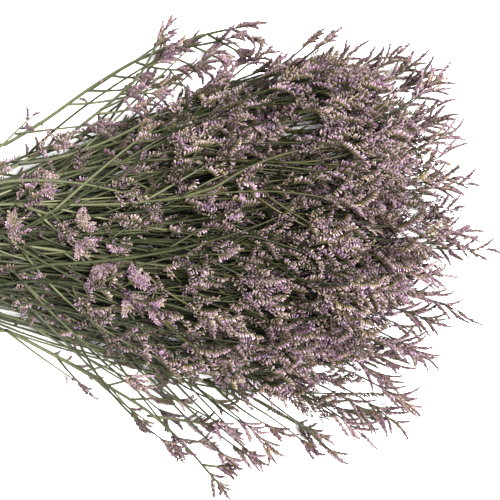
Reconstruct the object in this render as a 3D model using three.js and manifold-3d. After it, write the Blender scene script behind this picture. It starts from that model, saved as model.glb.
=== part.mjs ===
// A bunch of dried statice (sea lavender) that lies on its side, tied near the cut ends.
// Millimetres, +Z up. +X runs from the tie to the flowers; the origin is under the bunch's middle.
//
// Every flowering stem is one solid: a bare stalk, arching side branches, and flower plumes with
// two ranks of small spikes. The stems are packed side by side in the tie and fan out from there.
import * as THREE from "three";
import { mergeVertices } from "three/addons/utils/BufferGeometryUtils.js";
import Module from "manifold-3d";

const wasm = await Module();
wasm.setup();

// The bundle at the tie. Distances along the bunch count from the tie's middle.
const STEM_RINGS = 3; // rings of stems round the middle one: 1 + 6 + 12 + 18
const STEM_PITCH = 3.75;
const ROW_PITCH = 2.8; // between the rows of stems, one above the other
const STEM_RADIUS = [1.6, 1.72]; // slimmest and stoutest, at the cut end
const TIE_WIDTH = 12;
const TIE_THICKNESS = 1.6;
const TIE_SIDES = 12;
const TIE_SLACK = 0.35; // left between the outermost stems and the tie
const TIE_SQUASH = 0.88; // the tie's height over its width
const KNOT_SIZE = 4.6;
const BUTT = 70; // from the tie to the cut ends
const STRAIGHT = 10; // the stems run straight this far to each side of the tie's middle
const STALK_BENDS = [-BUTT, -STRAIGHT, STRAIGHT, 60, 130]; // where a stalk's straight pieces meet
const STALK_PIECE = 85; // the longest straight piece of the rest of the stalk

// The fan of the stems beyond the tie.
const BEND = 40; // and then bend outwards over about this length
const ACROSS = { slope: 0.04, full: 16 }; // how fast and how far the fan opens sideways
const UPWARD = { slope: 0.0225, full: 6.6 }; // and upwards
const BUTT_FLARE = 0.25; // share of that opening at the cut ends
const UNDERSIDE = 0.85; // the lower half is pressed flatter than the upper one
const RISE = 1.15; // how much the bunch's axis climbs for each step that the fan opens upwards
const TWIST = 0.5 / 650; // radians for each millimetre along the bunch
const SWAY = 0.22; // a stem's own wave, as a share of the room between the stems
const SWAY_LENGTH = [260, 420];

// The heads' outline seen from above: the reach from the tie at each angle to the axis, in degrees.
const REACH = [
  [-29, 465],
  [-22, 548],
  [-16, 605],
  [-8, 608],
  [0, 650],
  [12, 628],
  [18, 582],
  [24, 476],
  [28.5, 412],
];
const OUTLINE_SLACK = 2; // how far past the outline a branch may reach
const HEAD_CLEARANCE = 26; // room above the topmost stems for the plumes
const WIDEST = { least: 20, growth: 0.0195 }; // degrees off the axis, and more with each mm of reach
const REACH_SHARE = [0.92, 1];
const SHORTER_OUTSIDE = 0.1; // stems at the top and the bottom of the bunch are shorter
const TIP_STEP = 5; // a stem's length is found in steps of this size

// Stems that leave the fan, with their own way seen from above: [along, across].
const FAN_LEFT_BY = [110, 205];
const OWN_WAYS = {
  top: [
    [205, 88],
    [243, 110],
    [282, 136],
    [318, 157],
    [345, 169],
    [390, 184],
    [436, 193],
  ],
  steep: [
    [205, 62],
    [256, 88],
    [290, 112],
    [317, 133],
    [333, 149],
    [345, 170],
    [358, 194],
  ],
  low: [
    [205, -84],
    [272, -119],
    [308, -140],
    [338, -159],
    [372, -191],
    [396, -219],
    [408, -233],
  ],
};

// Branches and plumes.
const BRANCHES = 5;
const BRANCH_ZONE = [0.36, 0.84]; // of the stem's length
const BRANCH_LENGTH = [0.38, 0.17]; // of the stem's length, lowest and topmost branch
const BRANCH_OPENS = [0.55, 0.95]; // radians between stem and branch at the fork
const BRANCH_CLOSES = [0.1, 0.7]; // and at the branch's end
const BRANCH_RADIUS = 1.1;
const LONG_STALK = 24; // a branch's stalk that is longer than this bends halfway
const ROOT_RADIUS = 0.5; // the branch's end inside its stalk
const SHORTEST_BRANCH = 62;
const PLUME_LENGTH = 52;
const PLUME_ROOT = 6; // a stem's own plume begins this far down inside its stalk
const PLUME_SPIKES = 6;
const SPIKE_REACH = [9, 4.5]; // spikes at the plume's foot and at its tip
const SPIKE_LEAN = [8, 6];
const PLUME_ROOM = 8; // radius that is kept free round a plume
const SPIKE_LIFT = 2.2;
const RACHIS_RADIUS = [1.2, 0.7];
const TRIES = 60; // places tried for a branch before it is left out
const SHRINK = 0.35; // how much shorter it has become by the last try
const CLEARANCE = 1.3; // between the rooms of two branches
const BEAD_STEP = 5; // along the routes that are tested for room
const FORK = 26; // a branch's first stretch lies near its own stem
const LOWEST = 1.6; // height of the middle of a branch that lies on the surface
const PRESSED = 3; // how softly the lowest branches meet the surface

const SPRAY_COLOUR = 0x8a7c84;
const TIE_COLOUR = 0xb99a6b;

const up = new THREE.Vector3(0, 0, 1);
const lerp = THREE.MathUtils.lerp;

/** Numbers drawn evenly between two ends, the same ones each time for one seed. */
function dice(seed) {
  const modulus = 2147483647;
  let state = (seed * 48271 + 1013) % modulus;
  const draw = (low, high) => {
    state = (state * 16807) % modulus;
    return low + ((high - low) * state) / modulus;
  };
  draw(0, 1);
  draw(0, 1);
  return draw;
}

/** The height at x of a smooth curve through [x, height] stations, level past its ends. */
function through(stations, x) {
  const last = stations.length - 1;
  let i = 0;
  while (i < last - 1 && x > stations[i + 1][0]) {
    i += 1;
  }
  const slopeAt = (k) => {
    const before = stations[Math.max(k - 1, 0)];
    const after = stations[Math.min(k + 1, last)];
    return (after[1] - before[1]) / (after[0] - before[0]);
  };
  const width = stations[i + 1][0] - stations[i][0];
  const t = THREE.MathUtils.clamp((x - stations[i][0]) / width, 0, 1);
  const leave = slopeAt(i) * width * t * (1 - t) ** 2;
  const arrive = slopeAt(i + 1) * width * t * t * (t - 1);
  const left = stations[i][1] * (1 + 2 * t) * (1 - t) ** 2;
  const reached = stations[i + 1][1] * t * t * (3 - 2 * t);
  return left + reached + leave + arrive;
}

/** How far the fan has opened beyond the tie, in steps of the bundle's own size. */
function opening(along, { slope, full }) {
  const beyond = Math.max(Math.abs(along) - STRAIGHT, 0);
  const bent = (slope * beyond * beyond) / (beyond + BEND);
  const opened = bent / Math.cbrt(1 + (bent / full) ** 3);
  return along < 0 ? opened * BUTT_FLARE : opened;
}

const bundleWidth = STEM_RINGS * STEM_PITCH; // half of it, as for the height
const bundleHeight = STEM_RINGS * ROW_PITCH;
const tieInner = bundleWidth + STEM_RADIUS[1] + TIE_SLACK;
const tieOuter = tieInner + TIE_THICKNESS;
const tieHeight = tieOuter * TIE_SQUASH;

function axisHeight(along) {
  return tieHeight + RISE * bundleHeight * opening(along, UPWARD);
}

function topHeight(along) {
  return axisHeight(along) + bundleHeight * (1 + opening(along, UPWARD)) + HEAD_CLEARANCE;
}

/** Keeps what would hang below the surface lying on it. */
function liftOff(height) {
  const over = height - LOWEST;
  return LOWEST + (over + Math.sqrt(over * over + PRESSED * PRESSED)) / 2;
}

/** One stem's place in the bundle and its way through the fan. */
function makeStem(number, acrossTie, upTie, way) {
  const draw = dice(number);
  const stem = { number, radius: draw(STEM_RADIUS[0], STEM_RADIUS[1]), branches: [] };
  const reachShare = draw(REACH_SHARE[0], REACH_SHARE[1]);
  const waves = [0, 1].map(() => ({
    length: draw(SWAY_LENGTH[0], SWAY_LENGTH[1]),
    phase: draw(0, 1),
    size: draw(0.4, 1),
  }));
  const wave = (k, along) => {
    const { length, phase, size } = waves[k];
    return SWAY * STEM_PITCH * size * Math.sin(2 * Math.PI * (along / length + phase));
  };
  stem.at = (along) => {
    const wide = opening(along, ACROSS);
    const high = opening(along, UPWARD);
    const turn = TWIST * along;
    const across = acrossTie * Math.cos(turn) - upTie * Math.sin(turn);
    const above = acrossTie * Math.sin(turn) + upTie * Math.cos(turn);
    const pressed = above < 0 ? above * lerp(1, UNDERSIDE, Math.min(high, 1)) : above;
    let y = across * (1 + wide) + wave(0, along) * wide;
    if (way) {
      const leaving = THREE.MathUtils.smoothstep(along, FAN_LEFT_BY[0], FAN_LEFT_BY[1]);
      y = lerp(y, through(way, along), leaving);
    }
    const z = axisHeight(along) + pressed * (1 + high) + wave(1, along) * high;
    return new THREE.Vector3(along, y, z);
  };
  const outside = (upTie / bundleHeight) ** 2;
  const share = number === middleNumber ? 1 : reachShare - SHORTER_OUTSIDE * outside;
  stem.tip = way ? way[way.length - 1][0] : 0;
  while (!way && reachLeft(stem.at(stem.tip), share) > 0) {
    stem.tip += TIP_STEP;
  }
  const foot = stem.tip - PLUME_LENGTH + PLUME_ROOT;
  const bare = foot - STALK_BENDS[STALK_BENDS.length - 1];
  const pieces = Math.ceil(bare / STALK_PIECE);
  stem.bends = [...STALK_BENDS];
  for (let i = pieces - 1; i >= 0; i -= 1) {
    stem.bends.push(foot - (bare * i) / pieces);
  }
  return stem;
}

/** The middle of the stalk's straight piece at a distance from the tie. */
function onStalk(stem, along) {
  const i = stem.bends.findIndex((bend) => bend > along);
  const [before, after] = [stem.bends[i - 1], stem.bends[i]];
  return stem.at(before).lerp(stem.at(after), (along - before) / (after - before));
}

function angleOf(point) {
  return THREE.MathUtils.radToDeg(Math.atan2(point.y, point.x));
}

/** How much further out a point could lie, seen from above, at a share of the full reach. */
function reachLeft(point, share) {
  return through(REACH, angleOf(point)) * share - Math.hypot(point.x, point.y);
}

const places = [];
for (let row = -STEM_RINGS; row <= STEM_RINGS; row += 1) {
  for (let column = -STEM_RINGS; column <= STEM_RINGS; column += 1) {
    if (Math.abs(row + column) <= STEM_RINGS) {
      places.push([(column + row / 2) * STEM_PITCH, row * ROW_PITCH]);
    }
  }
}
const middleNumber = (places.length + 1) / 2;
const ownWayOf = {
  [middleNumber + STEM_RINGS]: OWN_WAYS.top,
  [middleNumber + 3 * STEM_RINGS]: OWN_WAYS.steep,
  [middleNumber - STEM_RINGS]: OWN_WAYS.low,
};
const stems = places.map(([across, above], i) => makeStem(i + 1, across, above, ownWayOf[i + 1]));

/** Beads along every stem and branch, which show whether a new branch has room. */
const beads = { x: [], y: [], z: [], radius: [], owner: [] };

function addBeads(route, radii, owner) {
  route.forEach((point, i) => {
    beads.x.push(point.x);
    beads.y.push(point.y);
    beads.z.push(point.z);
    beads.radius.push(radii[i]);
    beads.owner.push(owner);
  });
}

function isClear(route, radii, owner, nearOwn) {
  for (let i = 0; i < route.length; i += 1) {
    const { x, y, z } = route[i];
    for (let k = 0; k < beads.x.length; k += 1) {
      const own = beads.owner[k] === owner;
      const room = radii[i] + beads.radius[k] + CLEARANCE;
      const dx = beads.x[k] - x;
      const dy = beads.y[k] - y;
      const dz = beads.z[k] - z;
      if (dx * dx + dy * dy + dz * dz < room * room && !(own && i < nearOwn)) {
        return false;
      }
    }
  }
  return true;
}

function isInside(route) {
  return route.every((point) => {
    const widest = WIDEST.least + WIDEST.growth * Math.hypot(point.x, point.y);
    const fits = reachLeft(point, 1) > -OUTLINE_SLACK && Math.abs(angleOf(point)) < widest;
    return fits && point.z < topHeight(point.x);
  });
}

/** An arc that leaves `start` at one angle to `ahead` and ends at another, bending towards it. */
function arc(start, ahead, sideways, length, opens, closes) {
  const steps = Math.ceil(length / BEAD_STEP);
  const step = length / steps;
  const route = [start.clone()];
  const point = start.clone();
  for (let i = 0; i < steps; i += 1) {
    const angle = lerp(opens, closes, (i + 0.5) / steps);
    point.addScaledVector(ahead, step * Math.cos(angle));
    point.addScaledVector(sideways, step * Math.sin(angle));
    route.push(point.clone());
  }
  return route.map((p, i) => (i === 0 ? p : new THREE.Vector3(p.x, p.y, liftOff(p.z))));
}

/** Room that a branch with a plume at its end takes at each point of its route. */
function branchRoom(route, length) {
  const step = length / (route.length - 1);
  return route.map((_, i) => (i * step > length - PLUME_LENGTH ? PLUME_ROOM : BRANCH_RADIUS));
}

/** A sideways direction square to `ahead`, turned by `turn` from the way out of the bunch. */
function squareTo(ahead, turn) {
  const level = new THREE.Vector3().crossVectors(up, ahead).normalize();
  const other = new THREE.Vector3().crossVectors(ahead, level);
  return level.multiplyScalar(Math.cos(turn)).addScaledVector(other, Math.sin(turn));
}

function directionAt(stem, along) {
  return stem.at(along + 1).sub(stem.at(along - 1)).normalize();
}

/** Looks for a free place for one branch, and shortens it a little with every try that fails. */
function growBranch(stem, k) {
  const draw = dice(100 * stem.number + k);
  for (let attempt = 0; attempt < TRIES; attempt += 1) {
    const place = (k + draw(0, 0.9)) / BRANCHES;
    const fork = stem.tip * lerp(BRANCH_ZONE[0], BRANCH_ZONE[1], place);
    const share = lerp(BRANCH_LENGTH[0], BRANCH_LENGTH[1], place) * draw(0.8, 1.15);
    const shrink = 1 - (SHRINK * attempt) / TRIES;
    const length = Math.max(stem.tip * share * shrink, SHORTEST_BRANCH);
    const ahead = directionAt(stem, fork);
    const sideways = squareTo(ahead, draw(0, 2 * Math.PI));
    const opens = draw(BRANCH_OPENS[0], BRANCH_OPENS[1]);
    const closes = draw(BRANCH_CLOSES[0], BRANCH_CLOSES[1]);
    const route = arc(onStalk(stem, fork), ahead, sideways, length, opens, closes);
    const radii = branchRoom(route, length);
    if (isInside(route) && isClear(route, radii, stem.number, FORK / BEAD_STEP)) {
      addBeads(route, radii, stem.number);
      return { route, length };
    }
  }
  return null;
}

/** The middle line from one distance along the stem to another. */
function stemRoute(stem, from, to, step) {
  const count = Math.ceil((to - from) / step);
  return Array.from({ length: count + 1 }, (_, i) => stem.at(lerp(from, to, i / count)));
}

function stemRadius(stem, along) {
  return stem.radius * (1 - 0.6 * ((along + BUTT) / (stem.tip + BUTT)) ** 1.5);
}

for (const stem of stems) {
  const route = stemRoute(stem, 0, stem.tip, BEAD_STEP);
  const radii = route.map((p) => (p.x > stem.tip - PLUME_LENGTH ? PLUME_ROOM : stemRadius(stem, p.x)));
  addBeads(route, radii, stem.number);
}
for (let k = 0; k < BRANCHES; k += 1) {
  for (const stem of stems) {
    const branch = growBranch(stem, k);
    if (branch) {
      stem.branches.push(branch);
    }
  }
}

/** A closed body through rings with the same number of points, then flat or drawn to a point. */
function loft(rings, tip) {
  const sides = rings[0].length;
  const corners = [...rings.flat(), ...(tip ? [tip] : [])];
  const faces = [];
  for (let i = 1; i < sides - 1; i += 1) {
    faces.push(0, i + 1, i);
  }
  for (let ring = 0; ring < rings.length - 1; ring += 1) {
    for (let i = 0; i < sides; i += 1) {
      const a = ring * sides + i;
      const b = ring * sides + ((i + 1) % sides);
      faces.push(a, b, a + sides);
      faces.push(b, b + sides, a + sides);
    }
  }
  const end = (rings.length - 1) * sides;
  for (let i = 1; i < sides - 1 && !tip; i += 1) {
    faces.push(end, end + i, end + i + 1);
  }
  for (let i = 0; i < sides && tip; i += 1) {
    faces.push(end + i, end + ((i + 1) % sides), end + sides);
  }
  const geometry = new THREE.BufferGeometry();
  const positions = corners.flatMap((corner) => corner.toArray());
  geometry.setAttribute("position", new THREE.Float32BufferAttribute(positions, 3));
  geometry.setIndex(faces);
  return geometry;
}

/** The point at a distance along a route, with its direction and two directions square to it. */
function stationOn(route, length, distance, outward) {
  const place = THREE.MathUtils.clamp(distance / length, 0, 1) * (route.length - 1);
  const i = Math.min(Math.floor(place), route.length - 2);
  const point = route[i].clone().lerp(route[i + 1], place - i);
  const before = route[Math.max(i - 1, 0)];
  const after = route[Math.min(i + 2, route.length - 1)];
  const ahead = after.clone().sub(before).normalize();
  const side = new THREE.Vector3().crossVectors(ahead, outward).normalize();
  const out = new THREE.Vector3().crossVectors(side, ahead);
  return { point, ahead, side, out };
}

/** The way out of the bunch at a point: mostly up or down, as the bunch is wide and flat. */
function outwardAt(point) {
  const wide = bundleWidth * (1 + opening(point.x, ACROSS));
  const high = bundleHeight * (1 + opening(point.x, UPWARD));
  const above = point.z - axisHeight(point.x);
  const outward = new THREE.Vector3(0, point.y / wide ** 2, above / high ** 2);
  return outward.lengthSq() > 0 ? outward.normalize() : up.clone();
}

function threeSided(station, radius) {
  const { point, side, out } = station;
  return [
    point.clone().addScaledVector(out, -radius),
    point.clone().addScaledVector(side, -0.87 * radius).addScaledVector(out, 0.5 * radius),
    point.clone().addScaledVector(side, 0.87 * radius).addScaledVector(out, 0.5 * radius),
  ];
}

/** A thin branch that ends in a plume, whose spikes stand out to both sides in turn. */
function branchBody({ route, length }) {
  const bare = length - PLUME_LENGTH;
  const outward = outwardAt(route[Math.floor(route.length / 2)]);
  const rings = [threeSided(stationOn(route, length, 0, outward), ROOT_RADIUS)];
  if (bare > LONG_STALK) {
    rings.push(threeSided(stationOn(route, length, bare / 2, outward), BRANCH_RADIUS));
  }
  for (let k = 0; k <= PLUME_SPIKES; k += 1) {
    const t = k / (PLUME_SPIKES + 0.6);
    const station = stationOn(route, length, bare + PLUME_LENGTH * t * (1.15 - 0.15 * t), outward);
    const ring = threeSided(station, lerp(RACHIS_RADIUS[0], RACHIS_RADIUS[1], t));
    if (k > 0) {
      const sign = k % 2 === 1 ? 1 : -1;
      ring[sign > 0 ? 2 : 1] = station.point
        .clone()
        .addScaledVector(station.side, sign * lerp(SPIKE_REACH[0], SPIKE_REACH[1], t))
        .addScaledVector(station.ahead, lerp(SPIKE_LEAN[0], SPIKE_LEAN[1], t))
        .addScaledVector(station.out, SPIKE_LIFT);
    }
    rings.push(ring);
  }
  return loft(rings, route[route.length - 1]);
}

/** The bare stalk from the cut end to the foot of the plume at its tip. */
function stalkBody(stem) {
  const rings = stem.bends.map((along) => {
    const ahead = directionAt(stem, along);
    const side = new THREE.Vector3().crossVectors(up, ahead).normalize();
    const out = new THREE.Vector3().crossVectors(ahead, side);
    const radius = stemRadius(stem, along);
    return [0, 1, 2, 3].map((corner) => {
      const angle = (corner * Math.PI) / 2;
      return stem
        .at(along)
        .addScaledVector(side, radius * Math.cos(angle))
        .addScaledVector(out, radius * Math.sin(angle));
    });
  });
  return loft(rings);
}

function toSolid(geometry) {
  const merged = mergeVertices(geometry, 1e-4);
  return new wasm.Manifold(
    new wasm.Mesh({
      numProp: 3,
      vertProperties: new Float32Array(merged.attributes.position.array),
      triVerts: new Uint32Array(merged.index.array),
    }),
  );
}

function toGeometry(solid) {
  const mesh = solid.getMesh();
  const geometry = new THREE.BufferGeometry();
  geometry.setAttribute("position", new THREE.BufferAttribute(mesh.vertProperties, 3));
  geometry.setIndex(new THREE.BufferAttribute(mesh.triVerts, 1));
  geometry.computeVertexNormals();
  return geometry;
}

function plainBox(width, depth, height) {
  const box = new THREE.BoxGeometry(width, depth, height);
  box.deleteAttribute("normal");
  box.deleteAttribute("uv");
  return box;
}

const belowSurface = toSolid(plainBox(2000, 2000, 100).translate(0, 0, -50));

/** One flowering stem with all its branches, flattened where it lies on the surface. */
function sprayMesh(stem) {
  const plume = stemRoute(stem, stem.tip - PLUME_LENGTH, stem.tip, BEAD_STEP);
  const bodies = [
    branchBody({ route: plume, length: PLUME_LENGTH }),
    ...stem.branches.map(branchBody),
  ];
  const whole = bodies.reduce((solid, body) => solid.add(toSolid(body)), toSolid(stalkBody(stem)));
  const material = new THREE.MeshStandardMaterial({ color: SPRAY_COLOUR, roughness: 0.85, metalness: 0 });
  const mesh = new THREE.Mesh(toGeometry(whole.subtract(belowSurface)), material);
  mesh.name = `spray_${String(stem.number).padStart(2, "0")}`;
  return mesh;
}

/** The band round the stems, with its knot on top. */
function tieMesh() {
  const half = Math.PI / TIE_SIDES;
  const corner = (apothem, i) => {
    const angle = (2 * i + 1) * half;
    return new THREE.Vector2(Math.cos(angle), Math.sin(angle)).multiplyScalar(apothem / Math.cos(half));
  };
  const outline = Array.from({ length: TIE_SIDES }, (_, i) => corner(tieOuter, i));
  const hole = Array.from({ length: TIE_SIDES }, (_, i) => corner(tieInner, i));
  const section = new THREE.Shape(outline);
  section.holes.push(new THREE.Path(hole));
  const band = new THREE.ExtrudeGeometry(section, { depth: TIE_WIDTH, bevelEnabled: false });
  band.translate(0, 0, -TIE_WIDTH / 2);
  band.rotateX(Math.PI / 2);
  band.rotateZ(Math.PI / 2);
  band.scale(1, 1, TIE_SQUASH);
  const knot = new THREE.SphereGeometry(KNOT_SIZE, 8, 5);
  knot.scale(1.2, 1, 0.6);
  knot.translate(0, 0, tieHeight + 0.2 * KNOT_SIZE);
  for (const geometry of [band, knot]) {
    geometry.deleteAttribute("normal");
    geometry.deleteAttribute("uv");
  }
  const solid = toSolid(band).add(toSolid(knot));
  const material = new THREE.MeshStandardMaterial({ color: TIE_COLOUR, roughness: 0.9, metalness: 0 });
  const mesh = new THREE.Mesh(toGeometry(solid), material);
  mesh.name = "tie";
  mesh.position.z = tieHeight;
  return mesh;
}

const bunch = new THREE.Group();
bunch.add(...stems.map(sprayMesh), tieMesh());

const box = new THREE.Box3().setFromObject(bunch);
const middle = box.getCenter(new THREE.Vector3());
bunch.position.set(-middle.x, -middle.y, -box.min.z);

export default bunch;
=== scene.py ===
"""A tied bunch of dried statice, lying on a pale surface and seen from above.

The routes of the stems and their branches follow the same rules and the same drawn numbers as the
CAD model's, in millimetres from the middle of the tie. On them grow more branches, and small
spikes with two ranks of florets. One mesh stands for each CAD spray, and one for the tie.
"""
import math

import bpy
import numpy as np
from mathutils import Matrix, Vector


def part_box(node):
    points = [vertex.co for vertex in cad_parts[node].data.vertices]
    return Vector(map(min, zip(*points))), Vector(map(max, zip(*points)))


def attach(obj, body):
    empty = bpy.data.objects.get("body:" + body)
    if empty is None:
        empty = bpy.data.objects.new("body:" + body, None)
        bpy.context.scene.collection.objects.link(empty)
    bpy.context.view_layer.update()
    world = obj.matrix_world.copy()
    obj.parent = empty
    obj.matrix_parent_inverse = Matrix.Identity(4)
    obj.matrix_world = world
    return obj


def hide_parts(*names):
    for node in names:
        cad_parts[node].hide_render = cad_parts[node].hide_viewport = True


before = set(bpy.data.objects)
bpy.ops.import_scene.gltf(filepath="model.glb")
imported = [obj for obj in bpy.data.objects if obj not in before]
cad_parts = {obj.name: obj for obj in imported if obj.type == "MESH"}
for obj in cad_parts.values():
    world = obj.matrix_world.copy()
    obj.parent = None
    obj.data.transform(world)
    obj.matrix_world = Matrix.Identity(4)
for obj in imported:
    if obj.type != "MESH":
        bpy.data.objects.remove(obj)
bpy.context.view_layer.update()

# ---------------- the CAD model's own values
MM = 0.001

# The stems' places in the tie, and the tie.
STEM_RINGS = 3
STEM_PITCH = 3.75
ROW_PITCH = 2.8
STEM_RADIUS = (1.6, 1.72)
TIE_THICKNESS = 1.6
TIE_SLACK = 0.35
TIE_SQUASH = 0.88

# The stalks: their cut ends, bends and taper.
BUTT = 70
LONGEST = 650
STRAIGHT = 10
STALK_BENDS = (-BUTT, -STRAIGHT, STRAIGHT, 60, 130)
STALK_PIECE = 85
STALK_TAPER = (0.6, 1.5)

# How the fan opens, across and upwards, and how its stems twist and sway.
BEND = 40
ACROSS = (0.04, 16)
UPWARD = (0.0225, 6.6)
BUTT_FLARE = 0.25
UNDERSIDE = 0.85
RISE = 1.15
TWIST = 0.5 / LONGEST
SWAY = 0.22
SWAY_LENGTH = (260, 420)
SWAY_SIZE = (0.4, 1)

# The outline: angles in degrees round the tie, and how far the flowers reach there.
REACH = (
    (-29, 465), (-22, 548), (-16, 605), (-8, 608), (0, 650), (12, 628), (18, 582), (24, 476),
    (28.5, 412),
)
OUTLINE_SLACK = 2
HEAD_CLEARANCE = 26
WIDEST = (20, 0.0195)
REACH_SHARE = (0.92, 1)
SHORTER_OUTSIDE = 0.1
TIP_STEP = 5

# Where the loose stems run, seen from above, and where they have left the fan.
FAN_LEFT_BY = (110, 205)
TOP_WAY = ((205, 88), (243, 110), (282, 136), (318, 157), (345, 169), (390, 184), (436, 193))
STEEP_WAY = ((205, 62), (256, 88), (290, 112), (317, 133), (333, 149), (345, 170), (358, 194))
LOW_WAY = ((205, -84), (272, -119), (308, -140), (338, -159), (372, -191), (396, -219), (408, -233))

# Branches, and the room that each one needs. Angles are in radians.
BRANCHES = 5
BRANCH_ZONE = (0.36, 0.84)
BRANCH_PLACE = (0, 0.9)
BRANCH_LENGTH = (0.38, 0.17)
BRANCH_VARIES = (0.8, 1.15)
BRANCH_OPENS = (0.55, 0.95)
BRANCH_CLOSES = (0.1, 0.7)
BRANCH_RADIUS = 1.1
SHORTEST_BRANCH = 62
PLUME_LENGTH = 52
PLUME_ROOT = 6
PLUME_ROOM = 8
TRIES = 60
SHRINK = 0.35
CLEARANCE = 1.3
BEAD_STEP = 5
FORK = 26
LOWEST = 1.6
PRESSED = 3

UP = np.array((0.0, 0.0, 1.0))


def lerp(a, b, t):
    return a + (b - a) * t


class Dice:
    """Numbers drawn evenly between two ends, the same ones each time for one seed."""

    MODULUS = 2147483647
    FACTOR = 16807
    SEEDING = (48271, 1013)

    def __init__(self, seed):
        factor, offset = self.SEEDING
        self.state = (seed * factor + offset) % self.MODULUS
        self.draw(0, 1)
        self.draw(0, 1)

    def draw(self, low, high):
        self.state = (self.state * self.FACTOR) % self.MODULUS
        return low + ((high - low) * self.state) / self.MODULUS


def through(stations, x):
    """The height at x of a smooth curve through (x, height) stations, level past its ends."""
    last = len(stations) - 1
    i = 0
    while i < last - 1 and x > stations[i + 1][0]:
        i += 1

    def slope_at(k):
        before = stations[max(k - 1, 0)]
        after = stations[min(k + 1, last)]
        return (after[1] - before[1]) / (after[0] - before[0])

    width = stations[i + 1][0] - stations[i][0]
    t = min(max((x - stations[i][0]) / width, 0), 1)
    leave = slope_at(i) * width * t * (1 - t) ** 2
    arrive = slope_at(i + 1) * width * t * t * (t - 1)
    left = stations[i][1] * (1 + 2 * t) * (1 - t) ** 2
    reached = stations[i + 1][1] * t * t * (3 - 2 * t)
    return left + reached + leave + arrive


def opening(along, fan):
    """How far the fan has opened beyond the tie, in steps of the bundle's own size."""
    slope, full = fan
    beyond = max(abs(along) - STRAIGHT, 0)
    bent = (slope * beyond * beyond) / (beyond + BEND)
    opened = bent / math.cbrt(1 + (bent / full) ** 3)
    return opened * BUTT_FLARE if along < 0 else opened


BUNDLE_WIDTH = STEM_RINGS * STEM_PITCH
BUNDLE_HEIGHT = STEM_RINGS * ROW_PITCH
TIE_INNER = BUNDLE_WIDTH + STEM_RADIUS[1] + TIE_SLACK
TIE_HEIGHT = (TIE_INNER + TIE_THICKNESS) * TIE_SQUASH


def axis_height(along):
    return TIE_HEIGHT + RISE * BUNDLE_HEIGHT * opening(along, UPWARD)


def half_width(along):
    return BUNDLE_WIDTH * (1 + opening(along, ACROSS))


def half_height(along):
    return BUNDLE_HEIGHT * (1 + opening(along, UPWARD))


def lift_off(height):
    """Keeps what would hang below the surface lying on it."""
    over = height - LOWEST
    return LOWEST + (over + np.sqrt(over * over + PRESSED * PRESSED)) / 2


def angle_of(point):
    return math.degrees(math.atan2(point[1], point[0]))


def reach_left(point, share):
    """How much further out a point could lie, seen from above, at a share of the full reach."""
    return through(REACH, angle_of(point)) * share - math.hypot(point[0], point[1])


def smoothstep(x, low, high):
    t = min(max((x - low) / (high - low), 0), 1)
    return t * t * (3 - 2 * t)


def normalised(vectors):
    return vectors / np.linalg.norm(vectors, axis=-1, keepdims=True)


def turned(first, second, angle):
    """The first direction, turned by an angle towards the second."""
    return first * np.cos(angle) + second * np.sin(angle)


class Stem:
    """One stem's place in the bundle and its way through the fan."""

    def __init__(self, number, across_tie, up_tie, way, middle):
        dice = Dice(number)
        self.number = number
        self.across_tie = across_tie
        self.up_tie = up_tie
        self.way = way
        self.branches = []
        self.radius = dice.draw(*STEM_RADIUS)
        reach_share = dice.draw(*REACH_SHARE)
        self.waves = [(dice.draw(*SWAY_LENGTH), dice.draw(0, 1), dice.draw(*SWAY_SIZE)) for _ in range(2)]
        outside = (up_tie / BUNDLE_HEIGHT) ** 2
        share = 1 if middle else reach_share - SHORTER_OUTSIDE * outside
        self.tip = way[-1][0] if way else 0
        while not way and reach_left(self.at(self.tip), share) > 0:
            self.tip += TIP_STEP
        foot = self.tip - PLUME_LENGTH + PLUME_ROOT
        bare = foot - STALK_BENDS[-1]
        pieces = math.ceil(bare / STALK_PIECE)
        self.bends = list(STALK_BENDS) + [foot - (bare * i) / pieces for i in reversed(range(pieces))]

    def wave(self, k, along):
        length, phase, size = self.waves[k]
        return SWAY * STEM_PITCH * size * math.sin(2 * math.pi * (along / length + phase))

    def at(self, along):
        wide = opening(along, ACROSS)
        high = opening(along, UPWARD)
        turn = TWIST * along
        across = self.across_tie * math.cos(turn) - self.up_tie * math.sin(turn)
        above = self.across_tie * math.sin(turn) + self.up_tie * math.cos(turn)
        pressed = above * lerp(1, UNDERSIDE, min(high, 1)) if above < 0 else above
        y = across * (1 + wide) + self.wave(0, along) * wide
        if self.way:
            y = lerp(y, through(self.way, along), smoothstep(along, *FAN_LEFT_BY))
        z = axis_height(along) + pressed * (1 + high) + self.wave(1, along) * high
        return np.array((along, y, z))

    def direction(self, along):
        return normalised(self.at(along + 1) - self.at(along - 1))

    def on_stalk(self, along):
        i = next(k for k, bend in enumerate(self.bends) if bend > along)
        before, after = self.bends[i - 1], self.bends[i]
        return lerp(self.at(before), self.at(after), (along - before) / (after - before))

    def thickness(self, along):
        share, power = STALK_TAPER
        return self.radius * (1 - share * ((along + BUTT) / (self.tip + BUTT)) ** power)

    def route(self, start, end, step):
        count = math.ceil((end - start) / step)
        return np.array([self.at(lerp(start, end, i / count)) for i in range(count + 1)])


class Beads:
    """Beads along every stem and branch, which show whether a new branch has room."""

    def __init__(self):
        self.points = np.empty((0, 3))
        self.radii = np.empty(0)
        self.owners = np.empty(0, int)

    def add(self, route, radii, owner):
        self.points = np.vstack((self.points, route))
        self.radii = np.concatenate((self.radii, radii))
        self.owners = np.concatenate((self.owners, np.full(len(route), owner)))

    def clear(self, route, radii, owner, near_own):
        gaps = ((route[:, None, :] - self.points[None, :, :]) ** 2).sum(2)
        room = (radii[:, None] + self.radii[None, :] + CLEARANCE) ** 2
        touching = gaps < room
        forked = (np.arange(len(route)) < near_own)[:, None] & (self.owners == owner)[None, :]
        return not (touching & ~forked).any()


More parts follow.
